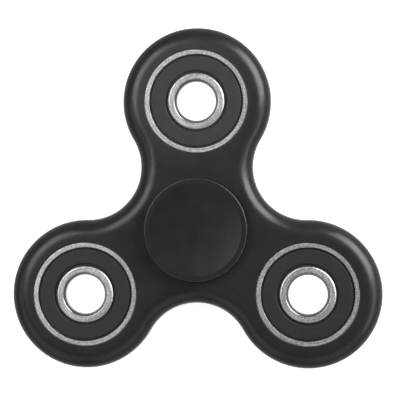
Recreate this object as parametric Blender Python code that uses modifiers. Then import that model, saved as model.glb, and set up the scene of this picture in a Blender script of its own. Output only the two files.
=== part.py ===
"""Three-lobed fidget spinner: a moulded body that carries four 608 ball bearings.

The spinner lies flat. +Z is the spin axis, the origin is on it half-way up the body,
and lobe 1 points along +Y. The two finger caps press into the centre bearing and stay
still while the body turns round them. Lengths are metres, angles are radians.
"""
import math

import bmesh
import bpy
from mathutils import Matrix, Vector

MM = 0.001
OBJECT_NAME = "fidget_spinner"
TURN_STEPS = 30                      # facets round every turned piece
WELD = 1e-6
FIT_GAP = 0.05 * MM                  # left between two pieces that press together

# Body
LOBES = 3
LOBE_RING_RADIUS = 27.4 * MM         # spin axis to lobe axis
LOBE_RADIUS = 15.85 * MM
WAIST_RADIUS = 11.3 * MM             # hollow curve between two lobes
BODY_THICKNESS = 7.4 * MM
EDGE_ROUNDING = 3.6 * MM
EDGE_SEGMENTS = 4
LOBE_ARC_STEPS = 20
WAIST_ARC_STEPS = 8

# 608 bearing
BEARING_RADIUS = 11.0 * MM
BORE_RADIUS = 4.0 * MM
BEARING_WIDTH = 7.0 * MM
BORE_CHAMFER = 0.4 * MM
SHOULDER_INNER = 6.05 * MM           # outside of the inner ring
SHOULDER_OUTER = 8.95 * MM           # inside of the outer ring
BALL_COUNT = 7
BALL_RADIUS = 1.9845 * MM
BALL_CLEARANCE = 0.08 * MM           # keeps faceted balls off faceted grooves
PITCH_RADIUS = 7.5 * MM
GROOVE_RADIUS = 2.06 * MM
GROOVE_STEPS = 3

# Rubber seals, seated on a shelf in the outer ring
SEAL_INNER = 6.25 * MM
SEAL_OUTER = 10.1 * MM
SEAL_THICKNESS = 0.6 * MM
SEAL_RECESS = 0.2 * MM               # below the ring faces

# Crown cage
CAGE_INNER = 6.85 * MM
CAGE_OUTER = 8.15 * MM
CAGE_BASE = -2.45 * MM
CAGE_HORN_TOP = 1.0 * MM
CAGE_STEPS = 4 * BALL_COUNT
POCKET_RADIUS = 2.08 * MM
POCKET_SIDES = 12

# Finger caps
CAP_RADIUS = 10.95 * MM
CAP_TOP = 6.0 * MM                   # height of the rim above the middle of the body
CAP_THICKNESS = 1.8 * MM
CAP_EDGE = 0.3 * MM
CAP_LAND_INNER = 9.8 * MM            # the flat rim lies between here and the edge
DISH_DEPTH = 0.7 * MM
DISH_STEPS = 3
BOSS_RADIUS = 5.6 * MM               # shoulder that sits on the inner ring
STEM_RADIUS = 3.9 * MM
STEM_HOLE_RADIUS = 2.7 * MM
STEM_END = 0.3 * MM
STEM_HOLE_TOP = 3.6 * MM

BLACK_PLASTIC = ("black_plastic", (0.022, 0.022, 0.023), 0.42, 0.0)
CAP_PLASTIC = ("cap_plastic", (0.017, 0.017, 0.018), 0.45, 0.0)
RING_STEEL = ("ring_steel", (0.62, 0.62, 0.64), 0.28, 1.0)
BALL_STEEL = ("ball_steel", (0.68, 0.68, 0.70), 0.08, 1.0)
SEAL_RUBBER = ("seal_rubber", (0.040, 0.040, 0.046), 0.55, 0.0)
CAGE_NYLON = ("cage_nylon", (0.72, 0.69, 0.60), 0.50, 0.0)


def clear_scene():
    for obj in list(bpy.data.objects):
        bpy.data.objects.remove(obj, do_unlink=True)


def new_collection(name):
    collection = bpy.data.collections.new(name)
    bpy.context.scene.collection.children.link(collection)
    return collection


def material(spec):
    """The Principled material of a spec, made the first time that it is asked for."""
    name, colour, roughness, metallic = spec
    found = bpy.data.materials.get(name)
    if found:
        return found
    made = bpy.data.materials.new(name)
    made.use_nodes = True
    made.diffuse_color = (*colour, 1.0)
    shader = made.node_tree.nodes["Principled BSDF"]
    shader.inputs["Base Color"].default_value = (*colour, 1.0)
    shader.inputs["Roughness"].default_value = roughness
    shader.inputs["Metallic"].default_value = metallic
    return made


def place(name, mesh, collection, location=(0, 0, 0), parent=None):
    obj = bpy.data.objects.new(name, mesh)
    obj.location = location
    obj.parent = parent
    collection.objects.link(obj)
    return obj


def add_turning(obj, steps=TURN_STEPS):
    """Turn the object's profile once round Z."""
    screw = obj.modifiers.new("turning", "SCREW")
    screw.axis = "Z"
    screw.angle = 2 * math.pi
    screw.steps = steps
    screw.render_steps = steps
    screw.use_merge_vertices = True
    screw.merge_threshold = WELD
    screw.use_smooth_shade = True
    return obj


def profile_mesh(name, profile, closed, spec=None):
    """A turned piece's outline in the XZ plane, from (radius, height) points."""
    edges = [(i, i + 1) for i in range(len(profile) - 1)]
    if closed:
        edges.append((len(profile) - 1, 0))
    mesh = bpy.data.meshes.new(name)
    mesh.from_pydata([(radius, 0, height) for radius, height in profile], edges, [])
    if spec:
        mesh.materials.append(material(spec))
    return mesh


def evaluated_mesh(obj, name):
    """The object's mesh with its modifiers applied; the object itself is removed."""
    bpy.context.view_layer.update()
    depsgraph = bpy.context.evaluated_depsgraph_get()
    mesh = bpy.data.meshes.new_from_object(obj.evaluated_get(depsgraph))
    mesh.name = name
    bpy.data.objects.remove(obj, do_unlink=True)
    return mesh


def smooth(mesh, sharp_degrees=35):
    mesh.shade_smooth()
    mesh.set_sharp_from_angle(angle=math.radians(sharp_degrees))


def as_cutter(obj):
    obj.hide_render = True
    obj.display_type = "WIRE"
    return obj


def cut(obj, cutter):
    boolean = obj.modifiers.new("cut_" + cutter.name, "BOOLEAN")
    boolean.operation = "DIFFERENCE"
    boolean.object = cutter


def polar(radius, angle, height=0.0):
    return Vector((radius * math.cos(angle), radius * math.sin(angle), height))


def lobe_angle(index):
    return math.pi / 2 + index * 2 * math.pi / LOBES


def arc(centre, radius, start, end, steps):
    """Points along an arc, without its last one."""
    return [centre + polar(radius, start + (end - start) * i / steps) for i in range(steps)]


def body_outline():
    """Lobe circles joined by hollow curves that meet them tangentially."""
    half_turn = math.pi / LOBES
    reach = LOBE_RADIUS + WAIST_RADIUS
    along = LOBE_RING_RADIUS * math.cos(half_turn)
    across = LOBE_RING_RADIUS * math.sin(half_turn)
    waist_distance = along + math.sqrt(reach ** 2 - across ** 2)
    points = []
    for index in range(LOBES):
        lobe = polar(LOBE_RING_RADIUS, lobe_angle(index))
        before = polar(waist_distance, lobe_angle(index) - half_turn)
        after = polar(waist_distance, lobe_angle(index) + half_turn)
        next_lobe = polar(LOBE_RING_RADIUS, lobe_angle(index + 1))
        points += arc(lobe, LOBE_RADIUS, *turn(lobe, before, after, 1), LOBE_ARC_STEPS)
        points += arc(after, WAIST_RADIUS, *turn(after, lobe, next_lobe, -1), WAIST_ARC_STEPS)
    return points


def turn(centre, first, last, direction):
    """Start and end angles seen from centre, going one way round (1 is anticlockwise)."""
    start = math.atan2(*(first - centre).yx)
    end = math.atan2(*(last - centre).yx)
    while (end - start) * direction < 0:
        end += direction * 2 * math.pi
    return start, end


def bearing_centres():
    """Bearing names and the points that their axes pass through."""
    centres = {"center": Vector((0, 0, 0))}
    for index in range(LOBES):
        centres[f"lobe_{index + 1}"] = polar(LOBE_RING_RADIUS, lobe_angle(index))
    return centres


def body_slab():
    """The outline as a flat slab whose two faces are single polygons."""
    curve = bpy.data.curves.new("body_outline", "CURVE")
    curve.dimensions = "2D"
    curve.fill_mode = "BOTH"
    curve.extrude = BODY_THICKNESS / 2
    outline = body_outline()
    spline = curve.splines.new("POLY")
    spline.points.add(len(outline) - 1)
    for point, position in zip(spline.points, outline):
        point.co = (*position, 1)
    spline.use_cyclic_u = True
    guide = bpy.data.objects.new("body_outline", curve)
    bpy.context.scene.collection.objects.link(guide)
    mesh = evaluated_mesh(guide, "spinner_body")
    slab = bmesh.new()
    slab.from_mesh(mesh)
    bmesh.ops.remove_doubles(slab, verts=slab.verts, dist=WELD)
    bmesh.ops.dissolve_limit(slab, angle_limit=math.radians(1), verts=slab.verts,
                             edges=slab.edges)
    bmesh.ops.recalc_face_normals(slab, faces=slab.faces)
    slab.to_mesh(mesh)
    slab.free()
    return mesh


def make_body(parts, cutters):
    mesh = body_slab()
    mesh.materials.append(material(BLACK_PLASTIC))
    body = place("spinner_body", mesh, parts)
    rounding = body.modifiers.new("rounded_edges", "BEVEL")
    rounding.width = EDGE_ROUNDING
    rounding.segments = EDGE_SEGMENTS
    rounding.limit_method = "ANGLE"
    rounding.angle_limit = math.radians(60)
    rounding.use_clamp_overlap = False
    pocket_radius = BEARING_RADIUS + FIT_GAP
    reach = BODY_THICKNESS           # half the cutter's height, which clears both faces
    pocket = profile_mesh("bearing_pocket", [(0, reach), (pocket_radius, reach),
                                             (pocket_radius, -reach), (0, -reach)],
                          closed=False)
    for name, centre in bearing_centres().items():
        cutter = add_turning(place(name + "_pocket", pocket, cutters, centre))
        cut(body, as_cutter(cutter))
    smooth(mesh)


def groove(centre_radius, shoulder_radius, side):
    """Upper half of a ball groove, from the middle up to the ring's shoulder.

    side is 1 for the outer ring and -1 for the inner ring. The points stand a little
    outside the groove's circle, so that the facets between them touch it.
    """
    half_angle = math.acos(abs(shoulder_radius - centre_radius) / GROOVE_RADIUS)
    half_step = half_angle / GROOVE_STEPS
    radius = GROOVE_RADIUS / math.cos(half_step)
    inner_point = (centre_radius + side * radius * math.cos(half_step),
                   radius * math.sin(half_step))
    shoulder = (shoulder_radius, GROOVE_RADIUS * math.sin(half_angle))
    return [inner_point, shoulder]


def mirrored(upper):
    """A closed ring profile from its upper half, which runs from inside to outside."""
    return upper + [(radius, -height) for radius, height in reversed(upper)]


def outer_ring_profile():
    face = BEARING_WIDTH / 2
    shelf = face - SEAL_RECESS - SEAL_THICKNESS - FIT_GAP
    race_bottom = PITCH_RADIUS + BALL_RADIUS
    return mirrored(groove(race_bottom - GROOVE_RADIUS, SHOULDER_OUTER, 1)
                    + [(SHOULDER_OUTER, shelf), (SEAL_OUTER, shelf), (SEAL_OUTER, face),
                       (BEARING_RADIUS, face)])


def inner_ring_profile():
    face = BEARING_WIDTH / 2
    race_bottom = PITCH_RADIUS - BALL_RADIUS
    outside = groove(race_bottom + GROOVE_RADIUS, SHOULDER_INNER, -1)
    upper = [(BORE_RADIUS, face - BORE_CHAMFER), (BORE_RADIUS + BORE_CHAMFER, face),
             (SHOULDER_INNER, face)] + outside[::-1]
    return mirrored(upper)


def seal_profile(side):
    outer_face = BEARING_WIDTH / 2 - SEAL_RECESS
    high, low = sorted((side * outer_face, side * (outer_face - SEAL_THICKNESS)), reverse=True)
    rim = SEAL_OUTER - FIT_GAP
    return [(SEAL_INNER, high), (rim, high), (rim, low), (SEAL_INNER, low)]


def cage_mesh():
    """A crown cage: a thin ring whose horns stand up between the balls."""
    section = [(CAGE_INNER, CAGE_HORN_TOP), (CAGE_OUTER, CAGE_HORN_TOP),
               (CAGE_OUTER, CAGE_BASE), (CAGE_INNER, CAGE_BASE)]
    blank = add_turning(place("cage_blank", profile_mesh("cage_blank", section, closed=True),
                              bpy.context.scene.collection), CAGE_STEPS)
    length = 2 * (CAGE_OUTER - CAGE_INNER)
    pockets = bmesh.new()
    for index in range(BALL_COUNT):
        angle = index * 2 * math.pi / BALL_COUNT
        lie_radially = Matrix.Rotation(angle, 4, "Z") @ Matrix.Rotation(math.pi / 2, 4, "Y")
        bmesh.ops.create_cone(pockets, cap_ends=True, segments=POCKET_SIDES,
                              radius1=POCKET_RADIUS, radius2=POCKET_RADIUS, depth=length,
                              matrix=Matrix.Translation(polar(PITCH_RADIUS, angle)) @ lie_radially)
    pocket_mesh = bpy.data.meshes.new("cage_pockets")
    pockets.to_mesh(pocket_mesh)
    pockets.free()
    cutter = place("cage_pockets", pocket_mesh, bpy.context.scene.collection)
    cut(blank, cutter)
    mesh = evaluated_mesh(blank, "ball_cage")
    bpy.data.objects.remove(cutter, do_unlink=True)
    mesh.materials.clear()
    mesh.materials.append(material(CAGE_NYLON))
    smooth(mesh)
    return mesh


def ball_mesh():
    ball = bmesh.new()
    bmesh.ops.create_icosphere(ball, subdivisions=2, radius=BALL_RADIUS - BALL_CLEARANCE)
    mesh = bpy.data.meshes.new("bearing_ball")
    ball.to_mesh(mesh)
    ball.free()
    mesh.materials.append(material(BALL_STEEL))
    mesh.shade_smooth()
    return mesh


def make_bearings(parts):
    """Four bearings, each with its pieces parented to an empty on its axis."""
    outer_ring = profile_mesh("outer_ring", outer_ring_profile(), True, RING_STEEL)
    inner_ring = profile_mesh("inner_ring", inner_ring_profile(), True, RING_STEEL)
    seal_upper = profile_mesh("seal_upper", seal_profile(1), True, SEAL_RUBBER)
    seal_lower = profile_mesh("seal_lower", seal_profile(-1), True, SEAL_RUBBER)
    cage = cage_mesh()
    ball = ball_mesh()
    for name, centre in bearing_centres().items():
        axis = place(name + "_bearing_axis", None, parts, centre)
        add_turning(place(name + "_outer_ring", outer_ring, parts, parent=axis))
        add_turning(place(name + "_inner_ring", inner_ring, parts, parent=axis))
        add_turning(place(name + "_seal_upper", seal_upper, parts, parent=axis))
        add_turning(place(name + "_seal_lower", seal_lower, parts, parent=axis))
        place(name + "_ball_cage", cage, parts, parent=axis)
        for index in range(BALL_COUNT):
            spot = polar(PITCH_RADIUS, index * 2 * math.pi / BALL_COUNT)
            place(f"{name}_ball_{index + 1}", ball, parts, spot, axis)


def cap_profile():
    """Dished top, flat rim, flange, shoulder and hollow stem, from the axis back to it."""
    bowl_radius = (CAP_LAND_INNER ** 2 + DISH_DEPTH ** 2) / (2 * DISH_DEPTH)
    bowl_centre = CAP_TOP - DISH_DEPTH + bowl_radius
    dish = []
    for step in range(DISH_STEPS + 1):
        radius = CAP_LAND_INNER * step / DISH_STEPS
        dish.append((radius, bowl_centre - math.sqrt(bowl_radius ** 2 - radius ** 2)))
    underside = CAP_TOP - CAP_THICKNESS
    shoulder = BEARING_WIDTH / 2 + FIT_GAP
    flange = [(CAP_RADIUS - CAP_EDGE, CAP_TOP), (CAP_RADIUS, CAP_TOP - CAP_EDGE),
              (CAP_RADIUS, underside + CAP_EDGE), (CAP_RADIUS - CAP_EDGE, underside),
              (BOSS_RADIUS, underside), (BOSS_RADIUS, shoulder)]
    stem = [(STEM_RADIUS, shoulder), (STEM_RADIUS, STEM_END + CAP_EDGE),
            (STEM_RADIUS - CAP_EDGE, STEM_END), (STEM_HOLE_RADIUS, STEM_END),
            (STEM_HOLE_RADIUS, STEM_HOLE_TOP), (0, STEM_HOLE_TOP)]
    return dish + flange + stem


def make_caps(parts):
    """Two identical finger caps, the lower one turned over."""
    cap = profile_mesh("finger_cap", cap_profile(), False, CAP_PLASTIC)
    add_turning(place("finger_cap_upper", cap, parts))
    lower = add_turning(place("finger_cap_lower", cap, parts))
    lower.rotation_euler = (math.pi, 0, 0)


def main():
    clear_scene()
    parts = new_collection(OBJECT_NAME)
    cutters = new_collection("cutters")
    make_body(parts, cutters)
    make_bearings(parts)
    make_caps(parts)


main()
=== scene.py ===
"""Looks of the fidget spinner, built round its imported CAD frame.

The spinner lies flat on its lower finger cap: +Z is the spin axis and lobe 1 points along
+Y. Each CAD node is replaced by a finer piece of the same size in the same place. Lengths
are metres and angles are radians, except the lights' angles, which are degrees.
"""
import math

import bmesh
import bpy
from mathutils import Matrix, Vector


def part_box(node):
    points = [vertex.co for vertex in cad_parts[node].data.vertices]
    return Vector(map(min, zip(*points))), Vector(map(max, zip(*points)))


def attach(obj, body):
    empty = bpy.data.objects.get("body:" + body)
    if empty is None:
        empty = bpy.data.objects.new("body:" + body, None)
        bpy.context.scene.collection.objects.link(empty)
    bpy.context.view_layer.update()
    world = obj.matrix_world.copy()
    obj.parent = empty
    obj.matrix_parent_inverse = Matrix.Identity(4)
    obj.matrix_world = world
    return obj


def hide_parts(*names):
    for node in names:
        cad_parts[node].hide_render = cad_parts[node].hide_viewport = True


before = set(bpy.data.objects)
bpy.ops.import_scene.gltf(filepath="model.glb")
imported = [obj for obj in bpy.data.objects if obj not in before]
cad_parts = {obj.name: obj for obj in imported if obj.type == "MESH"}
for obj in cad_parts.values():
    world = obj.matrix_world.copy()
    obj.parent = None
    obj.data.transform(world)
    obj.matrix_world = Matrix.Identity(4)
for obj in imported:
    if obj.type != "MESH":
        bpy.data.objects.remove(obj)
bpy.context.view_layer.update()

MM = 0.001
QUARTER_TURN = math.pi / 2
FULL_TURN = 2 * math.pi

# Sizes read from the frame
BEARINGS = ("center", "lobe_1", "lobe_2", "lobe_3")


def lowest(node):
    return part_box(node)[0]


def highest(node):
    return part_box(node)[1]


def node_centre(node):
    return (lowest(node) + highest(node)) / 2


def node_radius(node):
    return (highest(node).x - lowest(node).x) / 2


CENTRES = {name: node_centre(name + "_outer_ring") for name in BEARINGS}
LOBE_DISTANCE = CENTRES["lobe_1"].y
LOBE_RADIUS = highest("spinner_body").y - LOBE_DISTANCE
BODY_HALF = highest("spinner_body").z
BEARING_RADIUS = node_radius("center_outer_ring")
RING_FACE = highest("center_outer_ring").z
SHOULDER_INNER = node_radius("center_inner_ring")
CAP_RADIUS = node_radius("finger_cap_upper")
CAP_TOP = highest("finger_cap_upper").z
FLOOR_Z = lowest("finger_cap_lower").z

# Moulded body
LOBES = 3
WAIST_RADIUS = 11.3 * MM
EDGE_ROUNDING = 3.6 * MM
POCKET_RADIUS = BEARING_RADIUS - 0.005 * MM      # a press fit, so no light comes through
POCKET_EDGE = 0.15 * MM
CAPPED_POCKET_EDGE = 0.04 * MM
PARTING_WIDTH = 0.16 * MM
PARTING_HEIGHT = 0.03 * MM

# 608 bearing
BORE_RADIUS = 4.0 * MM
CHAMFER_OUTER = 4.7 * MM
SHOULDER_OUTER = 8.95 * MM
SEAL_SEAT = 10.04 * MM
SEAL_SHELF = 2.65 * MM
BALL_COUNT = 7
BALL_RADIUS = 1.975 * MM
PITCH_RADIUS = 7.5 * MM
GROOVE_RADIUS = 2.06 * MM
RACE_DEPTH = 1.9845 * MM             # pitch circle to the bottom of either groove
CAGE_INNER = 6.85 * MM
CAGE_OUTER = 8.15 * MM
CAGE_CLEARANCE = 0.1 * MM            # round each ball

# Finger cap
DISH_RADIUS = 9.8 * MM
DISH_DEPTH = 0.7 * MM
FLANGE_THICKNESS = 1.8 * MM
BOSS_RADIUS = 5.6 * MM
STEM_RADIUS = 3.9 * MM
STEM_END = 0.3 * MM
HOLLOW_RADIUS = 2.7 * MM
HOLLOW_END = 3.6 * MM
CAP_GAP = 0.05 * MM                  # between the boss and the inner ring's face

# Resolution
TURN_STEPS = 144
CAGE_STEPS = 24 * BALL_COUNT
FILLET_STEPS = 5
GROOVE_STEPS = 9
DISH_STEPS = 24
EDGE_STEPS = 14
POCKET_EDGE_STEPS = 4
LOBE_STEPS = 72
WAIST_STEPS = 40
SUPPORT = 0.06 * MM                  # extra loop beside a rounding, which keeps flats flat
FILLET_SUPPORT = 0.3                 # the most of it beside a small fillet, in fillet radii
GROOVE_MIDDLE = 0.05                 # share of a groove's half angle where its halves join
ON_AXIS = 1e-9
SHARP_EDGE = math.radians(32)

# Colours: the dark and light ends of each surface's variation, or one colour
BODY_COLOURS = (0.0156, 0.0151, 0.0176), (0.0209, 0.0202, 0.0235)
CAP_COLOURS = (0.0112, 0.0109, 0.0126), (0.0145, 0.0141, 0.0160)
RUBBER_COLOURS = (0.0175, 0.0168, 0.0210), (0.0245, 0.0236, 0.0290)
# Painted light and shade: scales each lobe's seal colour, lighter for lobe 1 and darker for
# lobes 2 and 3
SEAL_PAINTED_LIGHT_AND_SHADE = {"center": 1.0, "lobe_1": 1.32, "lobe_2": 0.80, "lobe_3": 0.68}
NYLON_COLOURS = (0.66, 0.62, 0.52), (0.76, 0.73, 0.64)
RING_COLOURS = (0.52, 0.52, 0.53), (0.98, 0.98, 0.99)
BALL_COLOURS = (0.66, 0.66, 0.68), (0.74, 0.74, 0.76)
FLOOR_COLOURS = (0.90, 0.90, 0.90), (0.93, 0.93, 0.93)
# Painted light: the colour that lightens lobe 1's top flat
PAINTED_LIGHT_COLOUR = (0.050, 0.049, 0.051)
# Painted highlight: the colour of the light line along the cap's outer edge
RIM_HIGHLIGHT_COLOUR = (0.05, 0.05, 0.052)
BORE_COLOUR = (0.56, 0.56, 0.57)
WHITE = (1, 1, 1, 1)

# Studio
FLOOR_RADIUS = 2.0
DOME_RADIUS = 1.99
FLOOR_GLOW = 0.85
DOME_GLOW = 0.9
STUDIO_GLOW = 0.13
# Each rise of the world's glow below the horizon: where it starts and ends, as the height of
# a unit direction, and its strength
DOWNWARD_GLOWS = ((-0.05, -0.35, 0.3), (-0.78, -0.97, 1.4))
# Azimuth anticlockwise from +X, elevation, distance, width and height, power in watts
SOFTBOXES = {
    "softbox_right": (34, 30, 0.35, (0.27, 0.23), 1.36),
    "softbox_right_low": (345, 26, 0.38, (0.26, 0.14), 0.19),
    "softbox_left": (146, 51, 0.35, (0.21, 0.18), 0.40),
    "softbox_left_low": (190, 30, 0.38, (0.26, 0.16), 0.075),
    "softbox_left_high": (170, 64, 0.38, (0.15, 0.15), 0.05),
    "softbox_front_left": (232, 26, 0.38, (0.28, 0.26), 0.12),
    "softbox_front_right": (290, 26, 0.38, (0.28, 0.26), 0.10),
}
CAMERA_PLACE = Vector((26 * MM, 3 * MM, BODY_HALF + 400 * MM))
CAMERA_TARGET = Vector((0.85 * MM, 6.36 * MM, BODY_HALF))
CAMERA_WIDTH = 84.9 * MM             # seen at the target
SENSOR_WIDTH = 36


# ---------------------------------------------------------------- mesh tools

def polar(radius, angle, height=0.0):
    return Vector((radius * math.cos(angle), radius * math.sin(angle), height))


def rounded(corners, closed):
    """Profile points from (radius, height, fillet) corners.

    A fillet gets an arc and a support point on each side, so that smooth shading stays
    on the arc and the straight stretches shade flat.
    """
    points = []
    count = len(corners)
    for index, (radius, height, fillet) in enumerate(corners):
        here = Vector((radius, height))
        if not fillet:
            points.append(here)
            continue
        before = Vector(corners[index - 1][:2]) - here
        after = Vector(corners[(index + 1) % count][:2]) - here
        half = before.angle(after) / 2
        reach = fillet / math.tan(half)
        support = min(SUPPORT, FILLET_SUPPORT * fillet)
        before.normalize()
        after.normalize()
        centre = here + (before + after).normalized() * fillet / math.sin(half)
        points.append(here + before * (reach + support))
        start = here + before * reach - centre
        sweep = start.angle_signed(here + after * reach - centre)
        for step in range(FILLET_STEPS + 1):
            turned_by = -sweep * step / FILLET_STEPS
            cos, sin = math.cos(turned_by), math.sin(turned_by)
            points.append(centre + Vector((start.x * cos - start.y * sin,
                                           start.x * sin + start.y * cos)))
        points.append(here + after * (reach + support))
    if closed:
        points.append(points[0])
    return points


def mirrored(upper):
    """The upper half of a profile followed by its mirror image below the middle plane."""
    return upper + [(point[0], -point[1], *point[2:]) for point in reversed(upper)]


def turned_mesh(name, profile, steps=TURN_STEPS):
    """The surface of a profile turned round Z. Points on the axis become poles."""
    mesh = bmesh.new()
    closed = profile[0] == profile[-1]
    rings = []
    for radius, height in profile[:-1] if closed else profile:
        if radius < ON_AXIS:
            rings.append([mesh.verts.new((0, 0, height))] * steps)
        else:
            rings.append([mesh.verts.new(polar(radius, FULL_TURN * s / steps, height))
                          for s in range(steps)])
    if closed:
        rings.append(rings[0])
    for upper, lower in zip(rings, rings[1:]):
        for s in range(steps):
            t = (s + 1) % steps
            corners = [upper[s], lower[s], lower[t], upper[t]]
            mesh.faces.new(dict.fromkeys(corners))       # a triangle at a pole
    bmesh.ops.recalc_face_normals(mesh, faces=mesh.faces)
    return finished_mesh(name, mesh)


def finished_mesh(name, source):
    mesh = bpy.data.meshes.new(name)
    source.to_mesh(mesh)
    source.free()
    shade(mesh)
    return mesh


def shade(mesh):
    mesh.shade_smooth()
    mesh.set_sharp_from_angle(angle=SHARP_EDGE)


def add_object(name, data):
    """A new object in the scene."""
    obj = bpy.data.objects.new(name, data)
    bpy.context.scene.collection.objects.link(obj)
    return obj


def piece(name, mesh, material, centre, body, node, turn=0):
    """A finished piece in place of a CAD node, turned about X."""
    obj = add_object(name, mesh)
    obj.location = centre
    obj.rotation_euler.x = turn
    if not mesh.materials:
        mesh.materials.append(material)
    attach(obj, body)
    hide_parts(node)


# ---------------------------------------------------------------- materials

def add_node(tree, kind, inputs=(), **settings):
    """A shader node whose inputs are sockets to link or values to set."""
    made = tree.nodes.new(kind)
    for key, value in settings.items():
        setattr(made, key, value)
    for key, value in dict(inputs).items():
        if isinstance(value, bpy.types.NodeSocket):
            tree.links.new(value, made.inputs[key])
        else:
            made.inputs[key].default_value = value
    return made


class Look:
    """A Principled material under construction, with small helpers for its nodes."""

    def __init__(self, name, colour, roughness, **constants):
        self.material = bpy.data.materials.new(name)
        self.material.use_nodes = True
        self.tree = self.material.node_tree
        self.shader = self.tree.nodes["Principled BSDF"]
        self.shader.inputs["Base Color"].default_value = (*colour, 1)
        self.shader.inputs["Roughness"].default_value = roughness
        for socket, value in constants.items():
            self.shader.inputs[socket.replace("_", " ")].default_value = value
        self.normal = None

    def node(self, kind, inputs=(), **settings):
        return add_node(self.tree, kind, inputs, **settings)

    def so_far(self, socket):
        """What is linked to one of the shader's sockets."""
        return self.shader.inputs[socket].links[0].from_socket

    def place(self):
        return self.node("ShaderNodeTexCoord").outputs["Object"]

    def noise(self, vector, scale, detail=2.0, rough=0.5):
        made = self.node("ShaderNodeTexNoise", {"Vector": vector, "Scale": scale,
                                                "Detail": detail, "Roughness": rough})
        return made.outputs["Fac"]

    def math(self, operation, a, b=0.0):
        return self.node("ShaderNodeMath", {0: a, 1: b}, operation=operation).outputs[0]

    def spread(self, value, low, high, from_low=0.3, from_high=0.7):
        """Maps a value onto low to high. Noise mostly lies between 0.3 and 0.7."""
        made = self.node("ShaderNodeMapRange", {"Value": value, "From Min": from_low,
                                                "From Max": from_high, "To Min": low,
                                                "To Max": high})
        return made.outputs["Result"]

    def axis_distance(self):
        x, y = self.node("ShaderNodeSeparateXYZ", {0: self.place()}).outputs[:2]
        return self.math("SQRT", self.math("ADD", self.math("MULTIPLY", x, x),
                                           self.math("MULTIPLY", y, y)))

    def round_vector(self, along):
        """(radius, height, angle * along): noise on it runs round the piece's axis."""
        x, y, z = self.node("ShaderNodeSeparateXYZ", {0: self.place()}).outputs
        angle = self.math("MULTIPLY", self.math("ARCTAN2", y, x), along)
        parts = {0: self.axis_distance(), 1: z, 2: angle}
        return self.node("ShaderNodeCombineXYZ", parts).outputs[0]

    def bump(self, height, distance, strength=1.0):
        """Adds relief to the relief made so far."""
        inputs = {"Height": height, "Distance": distance, "Strength": strength}
        if self.normal:
            inputs["Normal"] = self.normal
        self.normal = self.node("ShaderNodeBump", inputs).outputs[0]
        self.tree.links.new(self.normal, self.shader.inputs["Normal"])

    def colour(self, value, dark, light, spread=0.2):
        """Base colour from dark to light as a value crosses the middle of its range."""
        ramp = self.node("ShaderNodeValToRGB", {0: value})
        ramp.color_ramp.elements[0].position = 0.5 - spread
        ramp.color_ramp.elements[1].position = 0.5 + spread
        ramp.color_ramp.elements[0].color = (*dark, 1)
        ramp.color_ramp.elements[1].color = (*light, 1)
        self.tree.links.new(ramp.outputs[0], self.shader.inputs["Base Color"])

    def blend(self, amount, colour):
        """Moves the base colour made so far towards another one."""
        mix = self.node("ShaderNodeMix", {0: amount, 6: self.so_far("Base Color"),
                                          7: (*colour, 1)}, data_type="RGBA")
        self.tree.links.new(mix.outputs[2], self.shader.inputs["Base Color"])

    def roughness(self, value):
        self.tree.links.new(value, self.shader.inputs["Roughness"])


def plastic_look(name, colours, roughness):
    """Satin moulded plastic: fine spark-erosion grain, slow flow marks, faint smears."""
    dark, light = colours
    look = Look(name, light, roughness, IOR=1.5)
    place = look.place()
    look.colour(look.noise(place, scale=70, detail=3), dark, light)
    smear = look.noise(place, scale=260, detail=4, rough=0.6)
    look.roughness(look.spread(smear, roughness - 0.04, roughness + 0.06))
    look.bump(look.noise(place, scale=9000, rough=0.6), distance=0.005 * MM)
    look.bump(look.noise(place, scale=900, detail=3, rough=0.55), distance=0.0125 * MM,
              strength=0.5)
    return look


def painted_rim_highlight(look, radius, width):
    """Lightens a turned plastic piece in patches along its outer edge: a painted highlight line
    on the rim.
    """
    rim_band = look.spread(look.axis_distance(), 0, 1, radius - width, radius)
    patchy = look.spread(look.noise(look.place(), scale=700, detail=3), 0.6, 1)
    look.blend(look.math("MULTIPLY", rim_band, patchy), RIM_HIGHLIGHT_COLOUR)


def painted_light_flat(look, centre):
    """Painted light: lightens the top flat round a point, fading outwards; it stops where the
    edge falls away.
    """
    full_to, none_from, painted_share = 9.5 * MM, 16.5 * MM, 0.6
    none_below, full_above = BODY_HALF - 0.45 * MM, BODY_HALF - 0.05 * MM
    place = look.place()
    height = look.node("ShaderNodeSeparateXYZ", {0: place}).outputs[2]
    away = look.node("ShaderNodeVectorMath", {0: place, 1: centre}, operation="DISTANCE")
    near = look.spread(away.outputs["Value"], painted_share, 0, full_to, none_from)
    flat = look.spread(height, 0, 1, none_below, full_above)
    look.blend(look.math("MULTIPLY", near, flat), PAINTED_LIGHT_COLOUR)


def steel_look(name, colours, roughness, ridge):
    """Ground bearing steel: fine grain, and turning marks round the ring's axis."""
    dark, light = colours
    look = Look(name, light, roughness, Metallic=1.0)
    marks = look.noise(look.round_vector(along=0.0003), scale=5600, detail=3, rough=0.65)
    grain = look.noise(look.place(), scale=4400, detail=3, rough=0.7)
    mixed = look.math("MULTIPLY", look.math("ADD", marks, grain), 0.5)
    look.colour(mixed, dark, light, spread=0.06)
    look.roughness(look.spread(grain, roughness - 0.06, roughness + 0.12))
    look.bump(marks, ridge)
    look.bump(grain, ridge)
    return look


def honed_bore(look, roughness_share):
    """Makes a ring darker and smoother inside the outer edge of its chamfer."""
    inside = look.spread(look.axis_distance(), 1, 0, CHAMFER_OUTER, CHAMFER_OUTER + 0.1 * MM)
    look.blend(inside, BORE_COLOUR)
    share = look.spread(inside, 1, roughness_share, 0, 1)
    look.roughness(look.math("MULTIPLY", look.so_far("Roughness"), share))


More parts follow.
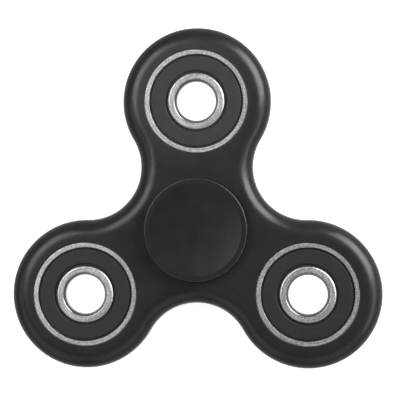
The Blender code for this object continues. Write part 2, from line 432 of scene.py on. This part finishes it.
def rubber_look(name, painted_light_scale):
    """Moulded nitrile seal: matt, with fine concentric tool marks and dusty patches. Its colours
    are scaled per lobe as painted light and shade.
    """
    dark, light = ([painted_light_scale * part for part in colour] for colour in RUBBER_COLOURS)
    look = Look(name, light, 0.53, IOR=1.52)
    place = look.place()
    look.colour(look.noise(place, scale=350, detail=4, rough=0.6), dark, light)
    look.roughness(look.spread(look.noise(place, scale=1200, detail=3), 0.46, 0.60))
    tool_marks = look.noise(look.round_vector(along=0.002), scale=2600)
    look.bump(tool_marks, distance=0.012 * MM)
    look.bump(look.noise(place, scale=7000), distance=0.010 * MM, strength=0.6)
    return look


def nylon_look():
    """Natural nylon cage: slightly translucent cream."""
    dark, light = NYLON_COLOURS
    look = Look("cage_nylon", light, 0.42, IOR=1.53, Subsurface_Weight=0.15,
                Subsurface_Scale=0.6 * MM)
    place = look.place()
    look.colour(look.noise(place, scale=500, detail=3), dark, light)
    look.bump(look.noise(place, scale=6000), distance=0.008 * MM)
    return look


# ---------------------------------------------------------------- moulded body

def lobe_angle(index):
    return QUARTER_TURN + index * FULL_TURN / LOBES


def waist_centre_distance():
    """Where a waist arc's centre lies, so that the arc touches the lobes on both sides."""
    half_turn = math.pi / LOBES
    reach = LOBE_RADIUS + WAIST_RADIUS
    along = LOBE_DISTANCE * math.cos(half_turn)
    across = LOBE_DISTANCE * math.sin(half_turn)
    return along + math.sqrt(reach ** 2 - across ** 2)


def outline(inset, height):
    """The body's outline, moved inwards by inset: lobe arcs and hollow waist arcs."""
    half_turn = math.pi / LOBES
    lobe = polar(LOBE_DISTANCE, lobe_angle(0))
    waist = polar(waist_centre_distance(), lobe_angle(0) + half_turn)
    to_lobe = lobe - waist
    leave = math.atan2(-to_lobe.y, -to_lobe.x)
    lobe_half = leave % FULL_TURN - lobe_angle(0)
    waist_half = lobe_half - half_turn
    points = []
    for index in range(LOBES):
        lobe = polar(LOBE_DISTANCE, lobe_angle(index))
        waist = polar(waist_centre_distance(), lobe_angle(index) + half_turn)
        for step in range(LOBE_STEPS):
            angle = lobe_angle(index) + lobe_half * (2 * step / LOBE_STEPS - 1)
            points.append(lobe + polar(LOBE_RADIUS - inset, angle, height))
        facing = lobe_angle(index) + half_turn + math.pi
        for step in range(WAIST_STEPS):
            angle = facing + waist_half * (1 - 2 * step / WAIST_STEPS)
            points.append(waist + polar(WAIST_RADIUS + inset, angle, height))
    return points


def rounded_brink(radius, steps):
    """(distance from the wall, height) from the top flat, round its edge, to the wall."""
    points = [(radius + SUPPORT, BODY_HALF)]
    for step in range(steps + 1):
        angle = QUARTER_TURN * step / steps
        points.append((radius * (1 - math.sin(angle)),
                       BODY_HALF - radius * (1 - math.cos(angle))))
    return points


def edge_section():
    """(inset, height) from the top flat, round the rounded side, to the bottom flat."""
    parting_line = [(0, PARTING_WIDTH), (-PARTING_HEIGHT, PARTING_WIDTH / 3)]
    return mirrored(rounded_brink(EDGE_ROUNDING, EDGE_STEPS) + parting_line)


def pocket_section(edge):
    """(radius, height) down a bearing pocket, from the top flat to the bottom flat."""
    brink = rounded_brink(edge, POCKET_EDGE_STEPS)
    return mirrored([(POCKET_RADIUS + distance, height) for distance, height in brink])


def skin(mesh, loops):
    """Quads between closed loops of equal length; returns the loops' vertices."""
    made = [[mesh.verts.new(point) for point in loop] for loop in loops]
    for first, second in zip(made, made[1:]):
        for index in range(len(first)):
            after = (index + 1) % len(first)
            mesh.faces.new((first[index], second[index], second[after], first[after]))
    return made


def body_mesh():
    mesh = bmesh.new()
    walls = [skin(mesh, [outline(inset, height) for inset, height in edge_section()])]
    for name, centre in CENTRES.items():
        edge = CAPPED_POCKET_EDGE if name == "center" else POCKET_EDGE
        loops = [[centre + polar(radius, FULL_TURN * s / TURN_STEPS, height)
                  for s in range(TURN_STEPS)] for radius, height in pocket_section(edge)]
        walls.append(skin(mesh, loops))
    for end in (0, -1):
        rim = {vertex for wall in walls for vertex in wall[end]}
        edges = [edge for edge in mesh.edges if edge.is_boundary and set(edge.verts) <= rim]
        bmesh.ops.triangle_fill(mesh, use_beauty=True, edges=edges)
    bmesh.ops.recalc_face_normals(mesh, faces=mesh.faces)
    return finished_mesh("spinner_body", mesh)


def make_body():
    look = plastic_look("body_plastic", BODY_COLOURS, roughness=0.28)
    to_upper_left = Vector((-2.5 * MM, 2.5 * MM, BODY_HALF))
    # painted light on lobe 1's top flat, strongest towards its upper left
    painted_light_flat(look, CENTRES["lobe_1"] + to_upper_left)
    piece("body_moulding", body_mesh(), look.material, (0, 0, 0), "spinner", "spinner_body")


# ---------------------------------------------------------------- bearings

def groove_profile(centre_radius, start, end):
    """Corners along a ball groove's arc, whose centre lies in the middle plane."""
    angles = [start + (end - start) * step / GROOVE_STEPS for step in range(GROOVE_STEPS + 1)]
    return [(centre_radius + GROOVE_RADIUS * math.cos(a), GROOVE_RADIUS * math.sin(a), 0)
            for a in angles]


def outer_race_profile():
    centre = PITCH_RADIUS + RACE_DEPTH - GROOVE_RADIUS
    half = math.acos((SHOULDER_OUTER - centre) / GROOVE_RADIUS)
    shoulder_fillet, seat_fillet, outer_fillet = 0.05 * MM, 0.04 * MM, 0.12 * MM
    corners = groove_profile(centre, GROOVE_MIDDLE * half, half)
    corners += [(SHOULDER_OUTER, SEAL_SHELF, shoulder_fillet), (SEAL_SEAT, SEAL_SHELF, 0),
                (SEAL_SEAT, RING_FACE, seat_fillet), (BEARING_RADIUS, RING_FACE, outer_fillet)]
    return rounded(mirrored(corners), closed=True)


def inner_race_profile():
    """Chamfered bore, rounded shoulder, a groove for the seal's lip, and the ball groove."""
    lead_bottom, chamfer_bottom = RING_FACE - 1.8 * MM, RING_FACE - 0.75 * MM
    lead_radius = BORE_RADIUS + 0.18 * MM
    lip_groove, groove_top, groove_bottom = 5.85 * MM, RING_FACE - 0.5 * MM, RING_FACE - 0.9 * MM
    lead_fillet, chamfer_fillet = 0.1 * MM, 0.06 * MM
    face_fillet, shoulder_fillet = 0.20 * MM, 0.42 * MM
    centre = PITCH_RADIUS - RACE_DEPTH + GROOVE_RADIUS
    half = math.acos((centre - SHOULDER_INNER) / GROOVE_RADIUS)
    corners = [(BORE_RADIUS, lead_bottom, lead_fillet),
               (lead_radius, chamfer_bottom, chamfer_fillet),
               (CHAMFER_OUTER, RING_FACE, face_fillet),
               (SHOULDER_INNER, RING_FACE, shoulder_fillet),
               (SHOULDER_INNER, groove_top, 0), (lip_groove, groove_top, 0),
               (lip_groove, groove_bottom, 0), (SHOULDER_INNER, groove_bottom, 0)]
    corners += groove_profile(centre, math.pi - half, math.pi - GROOVE_MIDDLE * half)
    return rounded(mirrored(corners), closed=True)


def seal_profile(side):
    """A flat web on a seated bead, with a thin lip that reaches into the inner race's groove."""
    web = RING_FACE - 0.2 * MM
    ledge, back = web - 0.5 * MM, web - 0.6 * MM
    lip_end, bead_end = 5.95 * MM, 10.01 * MM
    web_start, web_end, draft = 6.55 * MM, 9.61 * MM, 0.01 * MM
    small, inner_fillet, outer_fillet = 0.03 * MM, 0.20 * MM, 0.18 * MM
    corners = [(lip_end, ledge, small), (web_start - draft, ledge, small),
               (web_start + draft, web, inner_fillet), (web_end - draft, web, outer_fillet),
               (web_end + draft, ledge, small), (bead_end, ledge, small),
               (bead_end, back, small), (lip_end, back, small)]
    placed = [(radius, side * height, fillet) for radius, height, fillet in corners]
    return rounded(placed, closed=True)


def ball_place(index):
    return polar(PITCH_RADIUS, index * FULL_TURN / BALL_COUNT)


def ball_mesh():
    ball = bmesh.new()
    bmesh.ops.create_uvsphere(ball, u_segments=40, v_segments=20, radius=BALL_RADIUS)
    return finished_mesh("bearing_ball", ball)


def cage_mesh():
    """Crown cage: a ring with seven ball pockets that open upwards between short horns."""
    low, high = lowest("center_ball_cage").z, highest("center_ball_cage").z
    edge = 0.12 * MM
    profile = rounded([(CAGE_INNER, low, edge), (CAGE_INNER, high, edge),
                       (CAGE_OUTER, high, edge), (CAGE_OUTER, low, edge)], closed=True)
    blank = add_object("cage_blank", turned_mesh("cage_blank", profile, CAGE_STEPS))
    pockets = bmesh.new()
    for index in range(BALL_COUNT):
        made = bmesh.ops.create_uvsphere(pockets, u_segments=48, v_segments=24,
                                         radius=BALL_RADIUS + CAGE_CLEARANCE)
        bmesh.ops.translate(pockets, verts=made["verts"], vec=ball_place(index))
    cutter = add_object("cage_pockets", finished_mesh("cage_pockets", pockets))
    blank.modifiers.new("pockets", "BOOLEAN").object = cutter
    bpy.context.view_layer.update()
    depsgraph = bpy.context.evaluated_depsgraph_get()
    mesh = bpy.data.meshes.new_from_object(blank.evaluated_get(depsgraph))
    mesh.name = "crown_cage"
    for used in (blank, cutter):
        bpy.data.objects.remove(used, do_unlink=True)
    mesh.materials.clear()
    shade(mesh)
    return mesh


def make_bearings():
    ring_look = steel_look("ring_steel", RING_COLOURS, roughness=0.38, ridge=0.005 * MM)
    honed_bore(ring_look, roughness_share=0.45)
    ring = ring_look.material
    polished = steel_look("ball_steel", BALL_COLOURS, roughness=0.09, ridge=0.001 * MM).material
    nylon = nylon_look().material
    outer_race = turned_mesh("outer_race", outer_race_profile())
    inner_race = turned_mesh("inner_race", inner_race_profile())
    cage = cage_mesh()
    ball = ball_mesh()
    for name, centre in CENTRES.items():
        inner_body = "hub" if name == "center" else name + "_inner"
        piece(name + "_outer_race", outer_race, ring, centre, "spinner",
              name + "_outer_ring")
        piece(name + "_inner_race", inner_race, ring, centre, inner_body,
              name + "_inner_ring")
        # each lobe gets its own copy of the seal rubber, with painted light and shade
        rubber = rubber_look(name + "_seal_rubber_painted_light_and_shade", SEAL_PAINTED_LIGHT_AND_SHADE[name]).material
        for side, facing in (("upper", 1), ("lower", -1)):
            seal = turned_mesh(f"{name}_seal_{side}", seal_profile(facing))
            piece(f"{name}_rubber_{side}", seal, rubber, centre, "spinner",
                  f"{name}_seal_{side}")
        piece(name + "_crown_cage", cage, nylon, centre, name + "_cage",
              name + "_ball_cage")
        for index in range(BALL_COUNT):
            node = f"{name}_ball_{index + 1}"
            piece(node + "_steel", ball, polished, centre + ball_place(index), node, node)


# ---------------------------------------------------------------- finger caps

def dish_corners():
    """The dish from its middle to just inside its edge, on a sphere."""
    bowl = (DISH_RADIUS ** 2 + DISH_DEPTH ** 2) / (2 * DISH_DEPTH)
    corners = []
    for step in range(DISH_STEPS):
        radius = DISH_RADIUS * step / DISH_STEPS
        height = CAP_TOP - DISH_DEPTH + bowl - math.sqrt(bowl ** 2 - radius ** 2)
        corners.append((radius, height, 0))
    return corners


def cap_profile():
    """Dished top, flat rim, flange, shoulder on the inner ring, and hollow stem."""
    underside = CAP_TOP - FLANGE_THICKNESS
    shoulder = RING_FACE + CAP_GAP
    edge, dish_fillet, boss_fillet = 0.3 * MM, 0.05 * MM, 0.1 * MM
    mouth_fillet, hollow_fillet = 0.15 * MM, 0.2 * MM
    corners = [(DISH_RADIUS, CAP_TOP, dish_fillet), (CAP_RADIUS, CAP_TOP, edge),
               (CAP_RADIUS, underside, edge), (BOSS_RADIUS, underside, boss_fillet),
               (BOSS_RADIUS, shoulder, boss_fillet), (STEM_RADIUS, shoulder, 0),
               (STEM_RADIUS, STEM_END, edge), (HOLLOW_RADIUS, STEM_END, mouth_fillet),
               (HOLLOW_RADIUS, HOLLOW_END, hollow_fillet), (0, HOLLOW_END, 0)]
    return rounded(dish_corners() + corners, closed=False)


def make_caps():
    look = plastic_look("cap_plastic", CAP_COLOURS, roughness=0.32)
    # painted highlight line along the cap's rim
    painted_rim_highlight(look, radius=CAP_RADIUS - 0.12 * MM, width=0.1 * MM)
    mesh = turned_mesh("finger_cap", cap_profile())
    for side, turn in (("upper", 0), ("lower", math.pi)):
        piece(f"cap_{side}_moulding", mesh, look.material, (0, 0, 0), "hub",
              "finger_cap_" + side, turn)


# ---------------------------------------------------------------- studio

def staged(name, source, material):
    """The floor or the backdrop, which aren't part of the object."""
    obj = add_object(name, finished_mesh(name, source))
    obj.location.z = FLOOR_Z
    obj.data.materials.append(material)
    return obj


def make_floor():
    dark, light = FLOOR_COLOURS
    look = Look("pale_floor", light, 0.55, Emission_Color=WHITE, Emission_Strength=FLOOR_GLOW)
    look.colour(look.noise(look.place(), scale=30), dark, light)
    mesh = bmesh.new()
    bmesh.ops.create_circle(mesh, cap_ends=True, radius=FLOOR_RADIUS, segments=64)
    floor = staged("floor", mesh, look.material)
    floor.visible_glossy = False


def make_backdrop():
    """A pale dome that only the camera sees, so it adds no light of its own."""
    look = Look("backdrop", (0, 0, 0), 1.0, Emission_Color=WHITE, Emission_Strength=DOME_GLOW)
    mesh = bmesh.new()
    bmesh.ops.create_uvsphere(mesh, u_segments=48, v_segments=24, radius=DOME_RADIUS)
    dome = staged("backdrop", mesh, look.material)
    dome.visible_diffuse = dome.visible_glossy = dome.visible_shadow = False


def make_world():
    """A dim studio whose lower half stands for the pale floor, as smooth edges mirror it."""
    world = bpy.data.worlds.new("studio")
    world.use_nodes = True
    tree = world.node_tree
    direction = add_node(tree, "ShaderNodeTexCoord").outputs["Generated"]
    height = add_node(tree, "ShaderNodeSeparateXYZ", {0: direction}).outputs["Z"]
    glow = STUDIO_GLOW
    for start, end, strength in DOWNWARD_GLOWS:
        rise = add_node(tree, "ShaderNodeMapRange", {"Value": height, "From Min": start,
                                                     "From Max": end, "To Max": strength})
        glow = add_node(tree, "ShaderNodeMath", {0: glow, 1: rise.outputs["Result"]},
                        operation="ADD").outputs[0]
    background = tree.nodes["Background"]
    background.inputs["Color"].default_value = WHITE
    tree.links.new(glow, background.inputs["Strength"])
    bpy.context.scene.world = world


def make_softbox(name, azimuth, elevation, distance, size, power):
    """An area light that faces the object."""
    light = bpy.data.lights.new(name, "AREA")
    light.shape = "RECTANGLE"
    light.size, light.size_y = size
    light.energy = power
    obj = add_object(name, light)
    level = math.radians(elevation)
    place = polar(distance * math.cos(level), math.radians(azimuth), distance * math.sin(level))
    obj.location = place
    obj.rotation_euler = (-place).to_track_quat("-Z", "Y").to_euler()
    obj.visible_camera = False


def make_camera():
    """Above the spinner and a little to its right, so that it sees just inside each bore."""
    view = CAMERA_TARGET - CAMERA_PLACE
    right = view.cross(Vector((0, 1, 0))).normalized()
    up = right.cross(view).normalized()
    data = bpy.data.cameras.new("camera")
    data.sensor_width = SENSOR_WIDTH
    data.lens = SENSOR_WIDTH * view.length / CAMERA_WIDTH
    camera = add_object("camera", data)
    camera.location = CAMERA_PLACE
    camera.rotation_euler = Matrix((right, up, -view.normalized())).transposed().to_euler()
    bpy.context.scene.camera = camera


bpy.context.scene.view_settings.view_transform = "Standard"
make_camera()
make_body()
make_bearings()
make_caps()
make_floor()
make_backdrop()
make_world()
for softbox_name, softbox in SOFTBOXES.items():
    make_softbox(softbox_name, *softbox)

bpy.context.view_layer.update()
